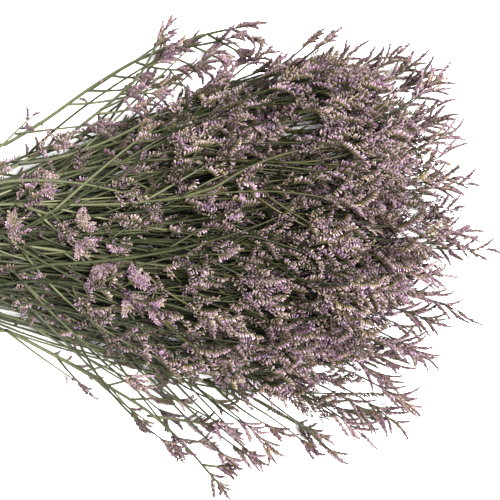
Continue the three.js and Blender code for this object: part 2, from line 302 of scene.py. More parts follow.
def arc(start, ahead, sideways, length, opens, closes):
    """An arc that leaves `start` at one angle to `ahead` and ends at another."""
    steps = math.ceil(length / BEAD_STEP)
    step = length / steps
    angles = lerp(opens, closes, (np.arange(steps) + 0.5) / steps)
    moves = np.outer(step * np.cos(angles), ahead) + np.outer(step * np.sin(angles), sideways)
    route = np.vstack((start, start + np.cumsum(moves, axis=0)))
    route[1:, 2] = lift_off(route[1:, 2])
    return route


def square_to(ahead, turn):
    level = normalised(np.cross(UP, ahead))
    return level * math.cos(turn) + np.cross(ahead, level) * math.sin(turn)


def inside(route):
    """Whether a route keeps within the bunch's outline and below the tops of its plumes."""
    for point in route:
        widest = WIDEST[0] + WIDEST[1] * math.hypot(point[0], point[1])
        if reach_left(point, 1) < -OUTLINE_SLACK or abs(angle_of(point)) > widest:
            return False
        if point[2] > axis_height(point[0]) + half_height(point[0]) + HEAD_CLEARANCE:
            return False
    return True


def grow_branch(stem, k, beads):
    """Looks for a free place for one branch, and shortens it a little with every try that fails."""
    dice = Dice(100 * stem.number + k)
    for attempt in range(TRIES):
        place = (k + dice.draw(*BRANCH_PLACE)) / BRANCHES
        fork = stem.tip * lerp(*BRANCH_ZONE, place)
        share = lerp(*BRANCH_LENGTH, place) * dice.draw(*BRANCH_VARIES)
        length = max(stem.tip * share * (1 - (SHRINK * attempt) / TRIES), SHORTEST_BRANCH)
        ahead = stem.direction(fork)
        sideways = square_to(ahead, dice.draw(0, 2 * math.pi))
        opens = dice.draw(*BRANCH_OPENS)
        closes = dice.draw(*BRANCH_CLOSES)
        route = arc(stem.on_stalk(fork), ahead, sideways, length, opens, closes)
        step = length / (len(route) - 1)
        plumed = np.arange(len(route)) * step > length - PLUME_LENGTH
        radii = np.where(plumed, PLUME_ROOM, BRANCH_RADIUS)
        if inside(route) and beads.clear(route, radii, stem.number, FORK / BEAD_STEP):
            beads.add(route, radii, stem.number)
            return route
    return None


def make_stems():
    places = []
    for row in range(-STEM_RINGS, STEM_RINGS + 1):
        for column in range(-STEM_RINGS, STEM_RINGS + 1):
            if abs(row + column) <= STEM_RINGS:
                places.append(((column + row / 2) * STEM_PITCH, row * ROW_PITCH))
    middle = (len(places) + 1) // 2
    ways = {
        middle + STEM_RINGS: TOP_WAY,
        middle + 3 * STEM_RINGS: STEEP_WAY,
        middle - STEM_RINGS: LOW_WAY,
    }
    stems = [Stem(i + 1, *place, ways.get(i + 1), i + 1 == middle) for i, place in enumerate(places)]
    beads = Beads()
    for stem in stems:
        route = stem.route(0, stem.tip, BEAD_STEP)
        radii = [PLUME_ROOM if p[0] > stem.tip - PLUME_LENGTH else stem.thickness(p[0]) for p in route]
        beads.add(route, np.array(radii), stem.number)
    for k in range(BRANCHES):
        for stem in stems:
            branch = grow_branch(stem, k, beads)
            if branch is not None:
                stem.branches.append(branch)
    return stems


STEMS = make_stems()

# ---------------- where the frame holds the bunch
tie_low, tie_high = (np.array(corner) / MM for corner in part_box("tie"))
TIE_PLACE = np.array(((tie_low[0] + tie_high[0]) / 2, (tie_low[1] + tie_high[1]) / 2, 0))


# ---------------- meshes
SOFT_TOUCH = 0.6  # square millimetres: how softly a mesh meets the surface under it
ALMOST_UP = UP + np.array((0.013, 0.021, 0))  # up, with a tilt that no stalk has


def add_object(name, data):
    thing = bpy.data.objects.new(name, data)
    bpy.context.scene.collection.objects.link(thing)
    return thing


def spokes_round(routes, upright, sides):
    """Directions from each point of one or many routes to the corners of a ring round it."""
    ahead = normalised(np.gradient(routes, axis=-2))
    level = normalised(np.cross(ahead, upright))
    other = np.cross(level, ahead)
    angles = (2 * np.pi * np.arange(sides) / sides)[:, None]
    return turned(level[..., None, :], other[..., None, :], angles)


class Body:
    """Vertices, faces and two shader values of one mesh, gathered from tubes and florets."""

    STALK, FLORET, CUT = range(3)

    def __init__(self):
        self.points = []
        self.values = []
        self.corners = []
        self.sizes = []
        self.kinds = []
        self.count = 0

    def add_faces(self, faces, kind, first):
        """Faces whose corners are counted from the mesh's point number `first`."""
        self.corners.append((faces + first).ravel())
        self.sizes.append(np.full(len(faces), faces.shape[1]))
        self.kinds.append(np.full(len(faces), kind))

    def add(self, points, ripe, tint, faces, kind):
        points = points.reshape(-1, 3)
        self.points.append(points)
        self.values.append(np.stack([np.broadcast_to(value, len(points)) for value in (ripe, tint)]))
        self.add_faces(faces, kind, self.count)
        self.count += len(points)

    def add_copies(self, form, faces, places, frames, ripe, tint):
        """Copies of one small form, each at a place and in a frame of its own."""
        corners = places[:, None] + np.einsum("vk,nkc->nvc", form, frames)
        starts = (np.arange(len(places)) * len(form))[:, None, None]
        self.add(corners, ripe, tint, (faces + starts).reshape(-1, 3), self.FLORET)

    def add_tubes(self, points, ripe, tint, ends):
        """Closed tubes through points that are sorted by tube, ring and corner."""
        many, rings, sides, _ = points.shape
        here = np.arange(sides)
        beside = (here + 1) % sides
        band = np.stack((here, here + sides, beside + sides, beside), axis=1)
        walls = (band + (np.arange(rings - 1) * sides)[:, None, None]).reshape(-1, 4)
        caps = np.stack((here, here[::-1] + (rings - 1) * sides))
        starts = (np.arange(many) * rings * sides)[:, None, None]
        first = self.count
        self.add(points, ripe, tint, (walls + starts).reshape(-1, 4), self.STALK)
        self.add_faces((caps + starts).reshape(-1, sides), ends, first)

    def add_stalks(self, routes, radii, sides, tint, ends=STALK):
        """Tubes along many routes with the same number of points. They ripen with their distance
        from the tie."""
        spokes = spokes_round(routes, ALMOST_UP, sides)
        points = routes[:, :, None] + spokes * radii[:, :, None, None]
        away = np.hypot(points[..., 0], points[..., 1]).ravel() / LONGEST
        tints = np.broadcast_to(np.asarray(tint, float).reshape(-1, 1, 1), points.shape[:3]).ravel()
        self.add_tubes(points, away, tints, ends)

    def make(self, name, materials):
        """The object, with nothing of it below the surface that the bunch lies on."""
        points = np.concatenate(self.points)
        height = points[:, 2]
        points[:, 2] = (height + np.sqrt(height * height + SOFT_TOUCH)) / 2
        mesh = bpy.data.meshes.new(name)
        mesh.vertices.add(len(points))
        mesh.vertices.foreach_set("co", ((points + TIE_PLACE) * MM).ravel())
        corners = np.concatenate(self.corners)
        sizes = np.concatenate(self.sizes)
        mesh.loops.add(len(corners))
        mesh.loops.foreach_set("vertex_index", corners)
        mesh.polygons.add(len(sizes))
        mesh.polygons.foreach_set("loop_start", np.concatenate(((0,), np.cumsum(sizes)[:-1])))
        kinds = np.concatenate(self.kinds)
        mesh.polygons.foreach_set("material_index", kinds)
        mesh.polygons.foreach_set("use_smooth", kinds == self.STALK)
        values = np.concatenate(self.values, axis=1)
        for row, attribute in enumerate(("ripe", "tint")):
            mesh.attributes.new(attribute, "FLOAT", "POINT").data.foreach_set("value", values[row])
        mesh.update(calc_edges=True)
        mesh.validate()
        for material in materials:
            mesh.materials.append(material)
        return add_object(name, mesh)


# ---------------- florets and spikes
# A spike's arc, and the thin stalk of its florets. Angles here are in radians.
SPIKE_RISE = (0.05, 0.25)
SPIKE_RECURVE = (0.15, 0.75)
RACHIS_RINGS = 4
RACHIS_SIDES = 3
RACHIS_RADII = (0.45, 0.25)
RACHIS_TINT = 0.45
RACHIS_FADES = 0.4

# The places and sizes of the florets. Buds stand closer to the spike, and top florets are small.
FLORET_LENGTH = 5.8
LENGTH_VARIES = (0.85, 1.15)
BUD_SHORTER = 0.15
TOP_SHORTER = 0.4
TOP_CLOSES = 0.4
FLORET_PITCH = 1.15
SPARSE_PITCH = 1.9
PLACE_VARIES = (-0.45, 0.45)
FIRST_FLORET = 2.2
CLOSED = 0.5
SHUT = CLOSED + 0.1
SPREAD = (0.05, 0.7)
BUD_SPREADS = 0.3
TILT = 1.05
TILT_VARIES = (0.75, 1.2)
BUD_TILTS = 0.9
LEAST_TILT = 0.3
GAPE = (0.95, 1.35)

# How brown and dark spikes and florets are, from 0 to 1, by fading and by the painted shade that a plume
# passes on.
FADED_VARIES = 0.2
BUD_FADES = 0.25
FADED_TINT = 0.75
BUD_TINT = 0.15
TINT_VARIES = 0.12

# A floret's corners: its foot, a ring round the bract, the calyx's mouth and its sunken throat.
# Columns: towards the spike's tip, across and along as shares of the length, and the ripeness,
# which says how far up the floret's colours a corner lies.
FLORET = np.array(
    (
        (0, 0, 0, 0),
        (0.1, 0, 0.34, 0.42),
        (-0.07, 0.1, 0.4, 0.3),
        (-0.07, -0.1, 0.4, 0.3),
        (0.11, 0, 0.92, 0.82),
        (-0.07, 0.12, 1, 0.74),
        (-0.07, -0.12, 0.97, 0.74),
        (0.01, 0, 0.8, 1),
    )
)
FLORET_FACES = np.array(
    [(0, 1 + (i + 1) % 3, 1 + i) for i in range(3)]
    + [(1 + i, 1 + (i + 1) % 3, 4 + (i + 1) % 3) for i in range(3)]
    + [(1 + i, 4 + (i + 1) % 3, 4 + i) for i in range(3)]
    + [(4 + i, 4 + (i + 1) % 3, 7) for i in range(3)]
)

# A closed floret: its foot, its widest ring and its point. Columns as for a floret.
BUD = np.array(
    (
        (0, 0, 0, 0.1),
        (0.24, 0, 0.5, 0.68),
        (-0.12, 0.21, 0.6, 0.56),
        (-0.12, -0.21, 0.6, 0.56),
        (0, 0, 1, 0.74),
    )
)

# A scale: its foot, a broad ring and its point. Columns: below, across and along.
SCALE = np.array(((0, 0, -0.2), (0.34, 0, 0.3), (0.1, 0.3, 0.3), (0.1, -0.3, 0.3), (0.3, 0, 1)))
SCALE_LENGTH = (3.5, 5.5)

# The faces of a bud and of a scale.
POINTED_FACES = np.array(
    [(0, 1 + (i + 1) % 3, 1 + i) for i in range(3)] + [(4, 1 + i, 1 + (i + 1) % 3) for i in range(3)]
)


def made_square(vectors, axes):
    """Unit vectors square to the axes, each as near to its own vector as it can be."""
    return normalised(vectors - axes * (vectors * axes).sum(1, keepdims=True))


class Spikes:
    """Short recurved spikes of one spray, gathered with the places that they leave from."""

    def __init__(self):
        self.rows = []

    def add(self, feet, ahead, out, lengths, buds, faded, pitch):
        """`buds` says how closed the florets are and `faded` how brown and dark, both from 0 to 1; from
        plumes `faded` also carries painted shade deep in the bunch and between clumps. Those and the
        pitch may be one number for all."""
        values = [np.broadcast_to(value, len(feet)) for value in (lengths, buds, faded, pitch)]
        self.rows.append(np.column_stack((feet, ahead, out, *values)))

    def build(self, body, rng):
        rows = np.concatenate(self.rows)
        feet, ahead, out = rows[:, 0:3], rows[:, 3:6], rows[:, 6:9]
        lengths, buds, faded, pitch = rows[:, 9:].T
        count = len(rows)
        across = np.cross(ahead, out)
        rise = rng.uniform(*SPIKE_RISE, count)
        rate = rng.uniform(*SPIKE_RECURVE, count) / lengths

        def on_spike(distance):
            """Points on the spikes' arcs, and the directions along them and towards the florets."""
            angle = rate[:, None] * distance - rise[:, None]
            forward = (np.sin(angle) + np.sin(rise)[:, None]) / rate[:, None]
            outward = (np.cos(angle) - np.cos(rise)[:, None]) / rate[:, None]
            points = feet[:, None] + forward[..., None] * ahead[:, None]
            points += outward[..., None] * out[:, None]
            cosine, sine = np.cos(angle)[..., None], np.sin(angle)[..., None]
            tangents = cosine * ahead[:, None] - sine * out[:, None]
            normals = sine * ahead[:, None] + cosine * out[:, None]
            return points, tangents, normals

        faded = np.clip(faded + rng.normal(0, FADED_VARIES, count) + BUD_FADES * buds, 0, 1)
        rachis, _, _ = on_spike(lengths[:, None] * np.linspace(0, 1, RACHIS_RINGS)[None])
        thickness = np.broadcast_to(np.linspace(*RACHIS_RADII, RACHIS_RINGS), (count, RACHIS_RINGS))
        body.add_stalks(rachis, thickness, RACHIS_SIDES, RACHIS_TINT + RACHIS_FADES * faded)

        most = int((lengths.max() - FIRST_FLORET) / FLORET_PITCH) + 1
        moved = rng.uniform(*PLACE_VARIES, (count, most))
        places = FIRST_FLORET + pitch[:, None] * np.arange(most)[None] + moved
        points, tangents, normals = on_spike(places)
        used = places < lengths[:, None]

        def each(values):
            """A value of each spike, given to all its florets."""
            return np.broadcast_to(values[:, None], used.shape + values.shape[1:])[used]

        top = (places / lengths[:, None])[used] ** 4
        many = len(top)
        points, tangents, normals = points[used], tangents[used], normals[used]
        bud = np.clip(each(buds) + TOP_CLOSES * top, 0, 1)
        rank = np.broadcast_to(1 - 2 * (np.arange(most) % 2), used.shape)[used]
        least, widest = SPREAD
        spread = (rank * rng.uniform(least, widest + BUD_SPREADS * bud, many))[:, None]
        tilt = np.maximum(TILT - BUD_TILTS * bud, LEAST_TILT)
        tilt = (tilt * rng.uniform(*TILT_VARIES, many))[:, None]
        axis = normalised(turned(tangents, turned(normals, each(across), spread), tilt))
        front = made_square(tangents, axis)
        beside = np.cross(axis, front)
        length = FLORET_LENGTH * (1 - BUD_SHORTER * bud) * (1 - TOP_SHORTER * top)
        length = (length * rng.uniform(*LENGTH_VARIES, many))[:, None, None]
        gape = rng.uniform(*GAPE, many)[:, None]
        frames = np.stack((front * gape, beside * gape, axis), axis=1) * length
        tint = FADED_TINT * each(faded) + BUD_TINT * bud + rng.normal(0, TINT_VARIES, many)
        tint = np.clip(tint, 0, 1)
        closed = each(buds) > CLOSED
        for chosen, form, faces in ((~closed, FLORET, FLORET_FACES), (closed, BUD, POINTED_FACES)):
            ripe = np.tile(form[:, 3], chosen.sum())
            tints = np.repeat(tint[chosen], len(form))
            body.add_copies(form[:, :3], faces, points[chosen], frames[chosen], ripe, tints)


# ---------------- places on routes and in the bunch
NUDGE = 1e-6  # keeps a direction from having no length
SUNK_FROM = 0.8

# Two patterns of patches: each one's waves along and across, as length, bend and the length of
# the bend, and its weight.
CLUMPS = ((8.6, 1.3, 17), (7.4, 1.1, 21), 0.75)
TUFTS = ((4.6, 1.7, 9), (4.1, 1.4, 11), 0.7)


def marks_on(route):
    """The distance of each of a route's points from its start."""
    return np.concatenate(((0,), np.cumsum(np.linalg.norm(np.diff(route, axis=0), axis=1))))


def length_of(route):
    return np.linalg.norm(np.diff(route, axis=0), axis=1).sum()


def stations_on(route, distances):
    """Points and directions at distances along a route."""
    marks = marks_on(route)
    points, slopes = (
        np.stack([np.interp(distances, marks, values[:, k]) for k in range(3)], axis=1)
        for values in (route, np.gradient(route, axis=0))
    )
    return points, normalised(slopes)


def resampled(route, rings):
    return stations_on(route, np.linspace(0, length_of(route), rings))[0]


def bow(start, middle, end, points):
    """A curve from start to end, drawn towards the middle."""
    t = np.linspace(0, 1, points)[:, None]
    return (1 - t) ** 2 * start + 2 * t * (1 - t) * middle + t * t * end


def depth_of(point):
    """0 on the bunch's axis, and 1 where its outermost stems run."""
    x, y, z = point
    return math.hypot(y / half_width(x), (z - axis_height(x)) / half_height(x))


def sunk(point):
    """How deep a place lies in the bunch: 0 near its top, 1 near the surface that it lies on."""
    x, _, z = point
    high = half_height(x)
    return min(max((axis_height(x) + SUNK_FROM * high - z) / (2 * SUNK_FROM * high), 0), 1)


def outward_at(points):
    """Directions from the bunch's axis out through its surface."""
    along, across, height = points.T
    wide, high, middle = (np.array([f(x) for x in along]) for f in (half_width, half_height, axis_height))
    out = np.column_stack((np.zeros(len(points)), across / wide**2, (height - middle) / high**2))
    return normalised(out + NUDGE)


def patches(x, y, along, across, weight):
    """A pattern of patches: the product of two waves, each bent by a slower one."""
    length, bend, slow = along
    first = math.sin(x / length + bend * math.sin(y / slow))
    length, bend, slow = across
    return weight * (first * math.sin(y / length + bend * math.sin(x / slow)))


def clumping(point):
    """0 to 1: how thick the flowers stand at a place, in clumps and tufts with gaps between."""
    pattern = patches(point[0], point[1], *CLUMPS) + patches(point[0], point[1], *TUFTS)
    return 0.5 + 0.5 * min(max(pattern, -1), 1)


# ---------------- plumes
FULL_SPIKES = (27, 17)
SMALL_SPIKES = (18, 13)
EDGE_SPIKES = (22, 17)
RIM_SPIKES = (28, 22)

# Plumes: how far each kind reaches down its branch, its number of spikes, and the lengths of the
# lowest spike and the one at the tip.
HEAD_PLUME = (PLUME_LENGTH, 8, FULL_SPIKES)
OUTER_PLUME = (PLUME_LENGTH, 3, SMALL_SPIKES)
EDGE_PLUME = (34, 10, EDGE_SPIKES)
LOW_SIDE_PLUME = (30, 5, SMALL_SPIKES)
CROSSING_PLUME = (26, 4, SMALL_SPIKES)
RIM_PLUME = (36, 8, RIM_SPIKES)
LOW_PLUME = (24, 3, SMALL_SPIKES)
LONG_REACH = (34, 50)
LONG_PLUME = (7, FULL_SPIKES)
TWIG_REACH = 0.6
TWIG_PLUME = (4, SMALL_SPIKES)

# The spikes' number, places and sizes. A plume near the loose edges is thin.
LEAST_SPIKES = 3
FULLNESS = (0.35, 1.5)
THIN_EDGE = 18.5
THIN_FULLNESS = 0.72
THIN_FAN = 0.5
THIN_SIZE = 0.8
STEP_VARIES = (0, 0.6)
FAN_POWER = 1.2
TIP_SPIKE = 8
SHORTEST_SPIKE = 8
SIZE_VARIES = (0.75, 1.2)
HIGHEST = 160

# The spikes' directions, in radians.
ROLL_VARIES = 0.5
LEAVES = (0.3, 0.7)
TIP_LEAVES = 0.1
FACES_OUT = (0.2, 1.35)

# How closed the florets are, from 0 to 1: more near the rim, and shut where a plume is thin or
# hidden.
RIM = 60
CLOSED_RIM = 42
HIDDEN = 0.5
RIM_CLOSES = 0.7
TIP_CLOSES = 0.2
OPENER = 0.1
MOST_CLOSED = 0.7
CLOSING_VARIES = (0.5, 1.0)

# How faded a plume is: its own share, and more of it far out. Low down in the bunch and between clumps it
# is made darker the same way, as painted shade.
FRESH = 0.45
FRESH_FADED = (0, 0.1)
OLD_FADED = (0.2, 0.75)
LOW_PAINTED_SHADE = 0.9
GAP_PAINTED_SHADE = 0.9
FADED_THIN = 0.2
FADED_FAR = 0.3
FAR = (280, 620)

# Small closed spikes that sit straight on a stalk.
SHOOTS = 7
SHOOT_ZONE = (0.3, 0.7)
SHOOT_LENGTH = (7, 15)
SHOOT_LEAVES = (0.4, 1.0)
SHOOT_FADED = (0.3, 0.9)


def plume(spikes, route, reach, count, lengths, rng):
    """A fan of spikes along the last `reach` of a route, to both sides in turn, and one at its tip."""
    total = length_of(route)
    tip = route[-1]
    thin = abs(angle_of(tip)) > THIN_EDGE
    full = THIN_FULLNESS if thin else lerp(*FULLNESS, clumping(tip))
    count = max(int(round(count * full)), LEAST_SPIKES)
    share = (np.arange(count) + rng.uniform(*STEP_VARIES, count)) / count
    share[-1] = 1
    fan = (THIN_FAN * reach if thin else reach) - TIP_SPIKE
    distances = total - fan * (1 - share) ** FAN_POWER - TIP_SPIKE
    points, ahead = stations_on(route, np.clip(distances, 0, total))
    out = outward_at(points)
    side = normalised(np.cross(ahead, out))
    out = np.cross(side, ahead)
    roll = (rng.normal(0, ROLL_VARIES, count) + np.pi * (np.arange(count) % 2))[:, None]
    spread = rng.uniform(*LEAVES, count)[:, None]
    spread[-1] = TIP_LEAVES
    sizes = lerp(*lengths, share) * rng.uniform(*SIZE_VARIES, count) * (THIN_SIZE if thin else 1)
    leaving = turned(ahead, turned(side, out, roll), spread)
    leaving[:, 2] = np.minimum(leaving[:, 2], (HIGHEST - points[:, 2]) / sizes)
    leaving = normalised(leaving)
    facing = rng.uniform(*FACES_OUT, count)[:, None]
    floret_side = turned(made_square(ahead, leaving), out, facing)

    rim = np.array([reach_left(p, 1) for p in points])
    buds = RIM_CLOSES * (1 - rim / RIM) + TIP_CLOSES * share - OPENER
    buds = np.clip(buds, 0, MOST_CLOSED) * rng.uniform(*CLOSING_VARIES, count)
    hidden = depth_of(tip) < HIDDEN and reach_left(tip, 1) > RIM
    if hidden or thin or reach_left(tip, 1) < CLOSED_RIM:
        buds = np.maximum(buds, SHUT)
    # Thin plumes are more faded; the others get painted shade low down and between clumps, as a darker
    # faded tint.
    painted_shade_and_thin_fading = FADED_THIN if thin else LOW_PAINTED_SHADE * sunk(tip) + GAP_PAINTED_SHADE * (0.5 - clumping(tip))
    far = FADED_FAR * smoothstep(math.hypot(tip[0], tip[1]), *FAR)
    own = rng.uniform(*(FRESH_FADED if rng.uniform() < FRESH else OLD_FADED))
    pitch = SPARSE_PITCH if hidden else FLORET_PITCH
    sizes = np.maximum(sizes, SHORTEST_SPIKE)
    floret_side = made_square(floret_side, leaving)
    spikes.add(points, leaving, floret_side, sizes, buds, own + painted_shade_and_thin_fading + far, pitch)


def add_shoots(spikes, stem, rng):
    """Small closed spikes that sit straight on the stalk."""
    along = stem.tip * rng.uniform(*SHOOT_ZONE, SHOOTS)
    feet = np.array([stem.on_stalk(x) for x in along])
    ahead = np.array([stem.direction(x) for x in along])
    out = normalised(np.cross(ahead, rng.normal(size=(SHOOTS, 3))))
    spread = rng.uniform(*SHOOT_LEAVES, SHOOTS)[:, None]
    leaving = turned(ahead, out, spread)
    floret_side = ahead * np.sin(spread) - out * np.cos(spread)
    lengths = rng.uniform(*SHOOT_LENGTH, SHOOTS)
    faded = rng.uniform(*SHOOT_FADED, SHOOTS)
    spikes.add(feet, leaving, floret_side, lengths, SHUT, faded, FLORET_PITCH)


# ---------------- branches that follow the photo
# Places "as they look" are those that look from EYE, the photo's own view, as if they lay on a
# level plane through the bunch's middle.
EYE = np.array((430, -9, 1485))
MIDDLE_HEIGHT = 85

# Fans of flowers that stand out from the rim: along and across, as they look.
RIM_STALK = 120
RIM_ROOM = 50
RIM_TURN = 0.9
RIM_RISE = 6
RIM_LOWEST = 25
RIM_BOW = 0.55
RIM_FANS = (
    (488, 182), (490, 158), (506, 164), (522, 168), (545, 166), (566, 170), (580, 162), (592, 150),
    (594, 138), (602, 122), (612, 98), (604, 110), (612, 82), (596, 66), (616, 56), (590, 34),
    (600, 24), (628, 8), (590, -22), (604, -32), (592, -48), (622, -66), (596, -74), (578, -84),
    (590, -108), (580, -100), (562, -112), (556, -130), (574, -150), (562, -166), (542, -160),
    (532, -176), (508, -194), (486, -188), (452, -190), (540, 138), (560, 122), (572, 106),
    (516, 148), (600, 148),
)

# Slender branches along the lower edge: the middle of their swing and their tip, seen from above.
LOW_SIDE_FORK = 70
LOW_SIDE_SINKS = 0.6
LOW_SIDE = (
    ((200, -92), (400, -110)),
    ((205, -97), (430, -126)),
    ((210, -88), (372, -106)),
    ((195, -100), (410, -138)),
    ((215, -93), (352, -118)),
    ((205, -86), (446, -118)),
)

# Long branches that cross on top of the others, each by its start, middle and end, as they look.
CROSSING_ABOVE = 9
CROSSING_FORK = 30
CROSSING_RINGS = 24
CROSSING = (
    ((250, -22), (371, -7), (475, 30)),
    ((424, 4), (452, -2), (502, -20)),
    ((371, -7), (398, -20), (439, -40)),
    ((222, 8), (281, 41), (343, 76)),
    ((250, 23), (306, 72), (343, 100)),
    ((205, 5), (252, -24), (300, -48)),
    ((205, -40), (290, -42), (373, -76)),
    ((335, -57), (364, -60), (410, -78)),
    ((250, 72), (306, 91), (350, 116)),
    ((205, 52), (268, 52), (330, 38)),
    ((400, 48), (450, 74), (505, 84)),
)

# Fans of flowers that stand up from the bare stalks near the tie: along and across, seen from
# above, and the bearing in degrees that they open towards.
CLUSTER_STALK = 24
CLUSTER_RISE = 15
CLUSTER_ARCH = 4
LOW_CLUSTERS = (
    (214, 6, 15), (217, 12, 40), (280, 12, 35), (281, 0, -55), (296, -20, -60), (304, -30, -20),
    (314, -14, 80), (327, -38, 45), (322, -50, -50), (341, -60, -10), (243, 50, 0),
)

# Such a fan's spikes. Angles are in radians.
CLUSTER_COUNT = 15
CLUSTER_FEET = 9
CLUSTER_SPIKES = (11, 17)
CLUSTER_OPENS = 0.95
CLUSTER_SCATTER = 0.12
CLUSTER_CLIMB = (0, 0.35)
CLUSTER_LEAN = 0.5

# Side branches of the stems that run along the loose edges. Angles are in radians.
EDGE_PITCH = 22
EDGE_FROM = 262
EDGE_LENGTH = (32, 58)
EDGE_NARROWS = (0.7, 12)
EDGE_ROLL = (-0.3, 0.3)
EDGE_OPENS = (0.6, 0.85)
EDGE_CLOSES = (0.3, 0.9)


def under_eye(seen, height):
    """Where the places that look as if they lay at `seen` lie at another height."""
    return EYE[:2] + (seen - EYE[:2]) * ((EYE[2] - height) / (EYE[2] - MIDDLE_HEIGHT))


def low_side_routes(stem):
    """Slender branches of the lowest stem that swing out along the bunch's lower edge."""
    free = [s for s in STEMS if not s.way]
    if min(free, key=lambda s: s.at(LOW_SIDE_FORK)[1]) is not stem:
        return []
    foot = stem.at(LOW_SIDE_FORK)
    ends = [((*swing, foot[2]), (*tip, LOW_SIDE_SINKS * foot[2])) for swing, tip in LOW_SIDE]
    return [bow(foot, np.array(middle), np.array(top), points=16) for middle, top in ends]


def crossing_routes(stem):
    """Branches of this stem that climb out of the bunch and cross over the others."""
    routes = []
    for seen in np.array(CROSSING):
        fork = seen[0][0] - CROSSING_FORK
        if min(STEMS, key=lambda s: abs(s.at(fork)[1] - seen[0][1]) - s.at(fork)[2]) is stem:
            height = np.array([axis_height(x) + half_height(x) for x in seen[:, 0]])
            height = np.minimum(height + CROSSING_ABOVE, HIGHEST)[:, None]
            start, middle, end = np.hstack((under_eye(seen, height), height))
            over = bow(start, 2 * middle - (start + end) / 2, end, points=14)
            routes.append(resampled(np.vstack((stem.at(fork), over)), CROSSING_RINGS))
    return routes


def edge_routes(stem, rng):
    """Even side branches of a stem that runs along the bunch's loose edge, on its inner side."""
    if not stem.way:
        return []
    inner = 0 if stem.way[0][1] < 0 else np.pi
    routes = []
    for along in np.arange(stem.tip - EDGE_PITCH, EDGE_FROM, -EDGE_PITCH):
        ahead = stem.direction(along)
        sideways = square_to(ahead, inner + rng.uniform(*EDGE_ROLL))
        share, least = EDGE_NARROWS
        length = min(rng.uniform(*EDGE_LENGTH), share * (stem.tip - along) + least)
        opens, closes = rng.uniform(*EDGE_OPENS), rng.uniform(*EDGE_CLOSES)
        routes.append(arc(stem.at(along), ahead, sideways, length, opens, closes))
    return routes


def rim_routes(stem):
    """Branches that end in the loose fans at the bunch's rim."""
    routes = []
    for tip in np.array(RIM_FANS):
        fork = tip[0] - RIM_STALK
        bearing = RIM_TURN * angle_of(tip)
        free = [s for s in STEMS if not s.way and s.tip > fork + RIM_ROOM]
        if min(free, key=lambda s: abs(angle_of(s.at(fork)) - bearing)) is stem:
            foot = stem.at(fork)
            height = max(foot[2] + RIM_RISE, RIM_LOWEST)
            top = np.array((*under_eye(tip, height), height))
            middle = foot + stem.direction(fork) * RIM_BOW * RIM_STALK
            routes.append(bow(foot, middle, top, points=12))
    return routes


def low_cluster_routes(stem):
    """Short branches that rise from this stem to the low fans that it is the nearest under."""
    found = []
    for along, across, bearing in LOW_CLUSTERS:
        start = along - CLUSTER_STALK
        above = [s for s in STEMS if abs(s.at(start)[1] - across) < CLUSTER_STALK / 2]
        if above and max(above, key=lambda s: s.at(start)[2]) is stem:
            foot = stem.at(start)
            top = np.array((along, across, foot[2] + CLUSTER_RISE))
            middle = (foot + top) / 2 + np.array((0, 0, CLUSTER_ARCH))
            found.append((bow(foot, middle, top, points=8), bearing))
    return found


def open_fan(spikes, route, bearing, rng):
    """A tight fan of fresh spikes at a route's end, spread out level with its florets upwards."""
    share = np.linspace(-1, 1, CLUSTER_COUNT)
    back = CLUSTER_FEET * (1 - np.abs(share)) * rng.uniform(0, 1, CLUSTER_COUNT)
    feet, _ = stations_on(route, length_of(route) - back)
    scatter = rng.normal(0, CLUSTER_SCATTER, CLUSTER_COUNT)
    angles = math.radians(bearing) + CLUSTER_OPENS * share + scatter
    climb = rng.uniform(*CLUSTER_CLIMB, CLUSTER_COUNT)
    leaving = normalised(np.stack((np.cos(angles), np.sin(angles), climb), axis=1))
    lean = rng.normal(0, CLUSTER_LEAN, CLUSTER_COUNT)[:, None]
    beside = normalised(np.cross(leaving, UP))
    floret_side = turned(np.cross(beside, leaving), beside, lean)
    lengths = rng.uniform(*CLUSTER_SPIKES, CLUSTER_COUNT)
    spikes.add(feet, leaving, floret_side, lengths, buds=0.45, faded=0, pitch=FLORET_PITCH)


# ---------------- branches that are drawn freely
# Zones are shares of the stem's length, and for twigs of their branch's bare stretch. Angles, at
# the fork and at the tip, are in radians.
ATTEMPTS = 10
FREE_SHRINK = 0.3
LONG_BRANCHES = 3
LONG_ZONE = (0.1, 0.45)
LONG_SHARE = (0.8, 0.99)
LONG_ANGLES = ((0.2, 0.65), (-0.3, 0.05))
TWIG_ZONE = (0.55, 1.0)
TWIG_LENGTH = (26, 50)
TWIG_ANGLES = ((0.5, 1.0), (0.0, 0.6))

# Nearly bare branches that hang down to the surface, and short ones on the stem's upper side: their
# zone, lengths, angles at the fork and at the tip, and turns round the stem.
LOW_BRANCHES = 9
LOW_FORM = ((0.12, 0.8), (120, 230), (0.15, 0.8), (-0.5, 0.2), (np.pi + 0.3, 2 * np.pi - 0.3))
SHORT_BRANCHES = (1, 4)  # on the bundle's lower stems, and on the others
SHORT_FORM = ((0.24, 0.84), (26, 70), (0.5, 1.1), (0.1, 0.8), (0.4, np.pi - 0.4))

# Where the dense flowers end: at an angle in degrees, and at shares of the reach by angle.
LOW_EDGE = 17
DENSE_REACH = (
    (-20, 0.82), (-16, 0.82), (-10, 0.9), (-4, 0.92), (3, 0.87), (8, 0.92), (13, 0.96), (18, 0.96),
)


def beyond_edges(tip):
    """Whether a tip lies beyond the dense flowers."""
    angle = angle_of(tip)
    return not -LOW_EDGE < angle < THIN_EDGE or reach_left(tip, through(DENSE_REACH, angle)) < 0


def side_route(start, ahead, length, opens, closes, rng, turns=(0, 2 * np.pi)):
    """A free arc away from a stem that keeps within the bunch's outline, or None."""
    for attempt in range(ATTEMPTS):
        sideways = square_to(ahead, rng.uniform(*turns))
        reach = length * (1 - FREE_SHRINK * attempt / ATTEMPTS)
        route = arc(start, ahead, sideways, reach, rng.uniform(*opens), rng.uniform(*closes))
        if inside(route) and not beyond_edges(route[-1]):
            return route
    return None


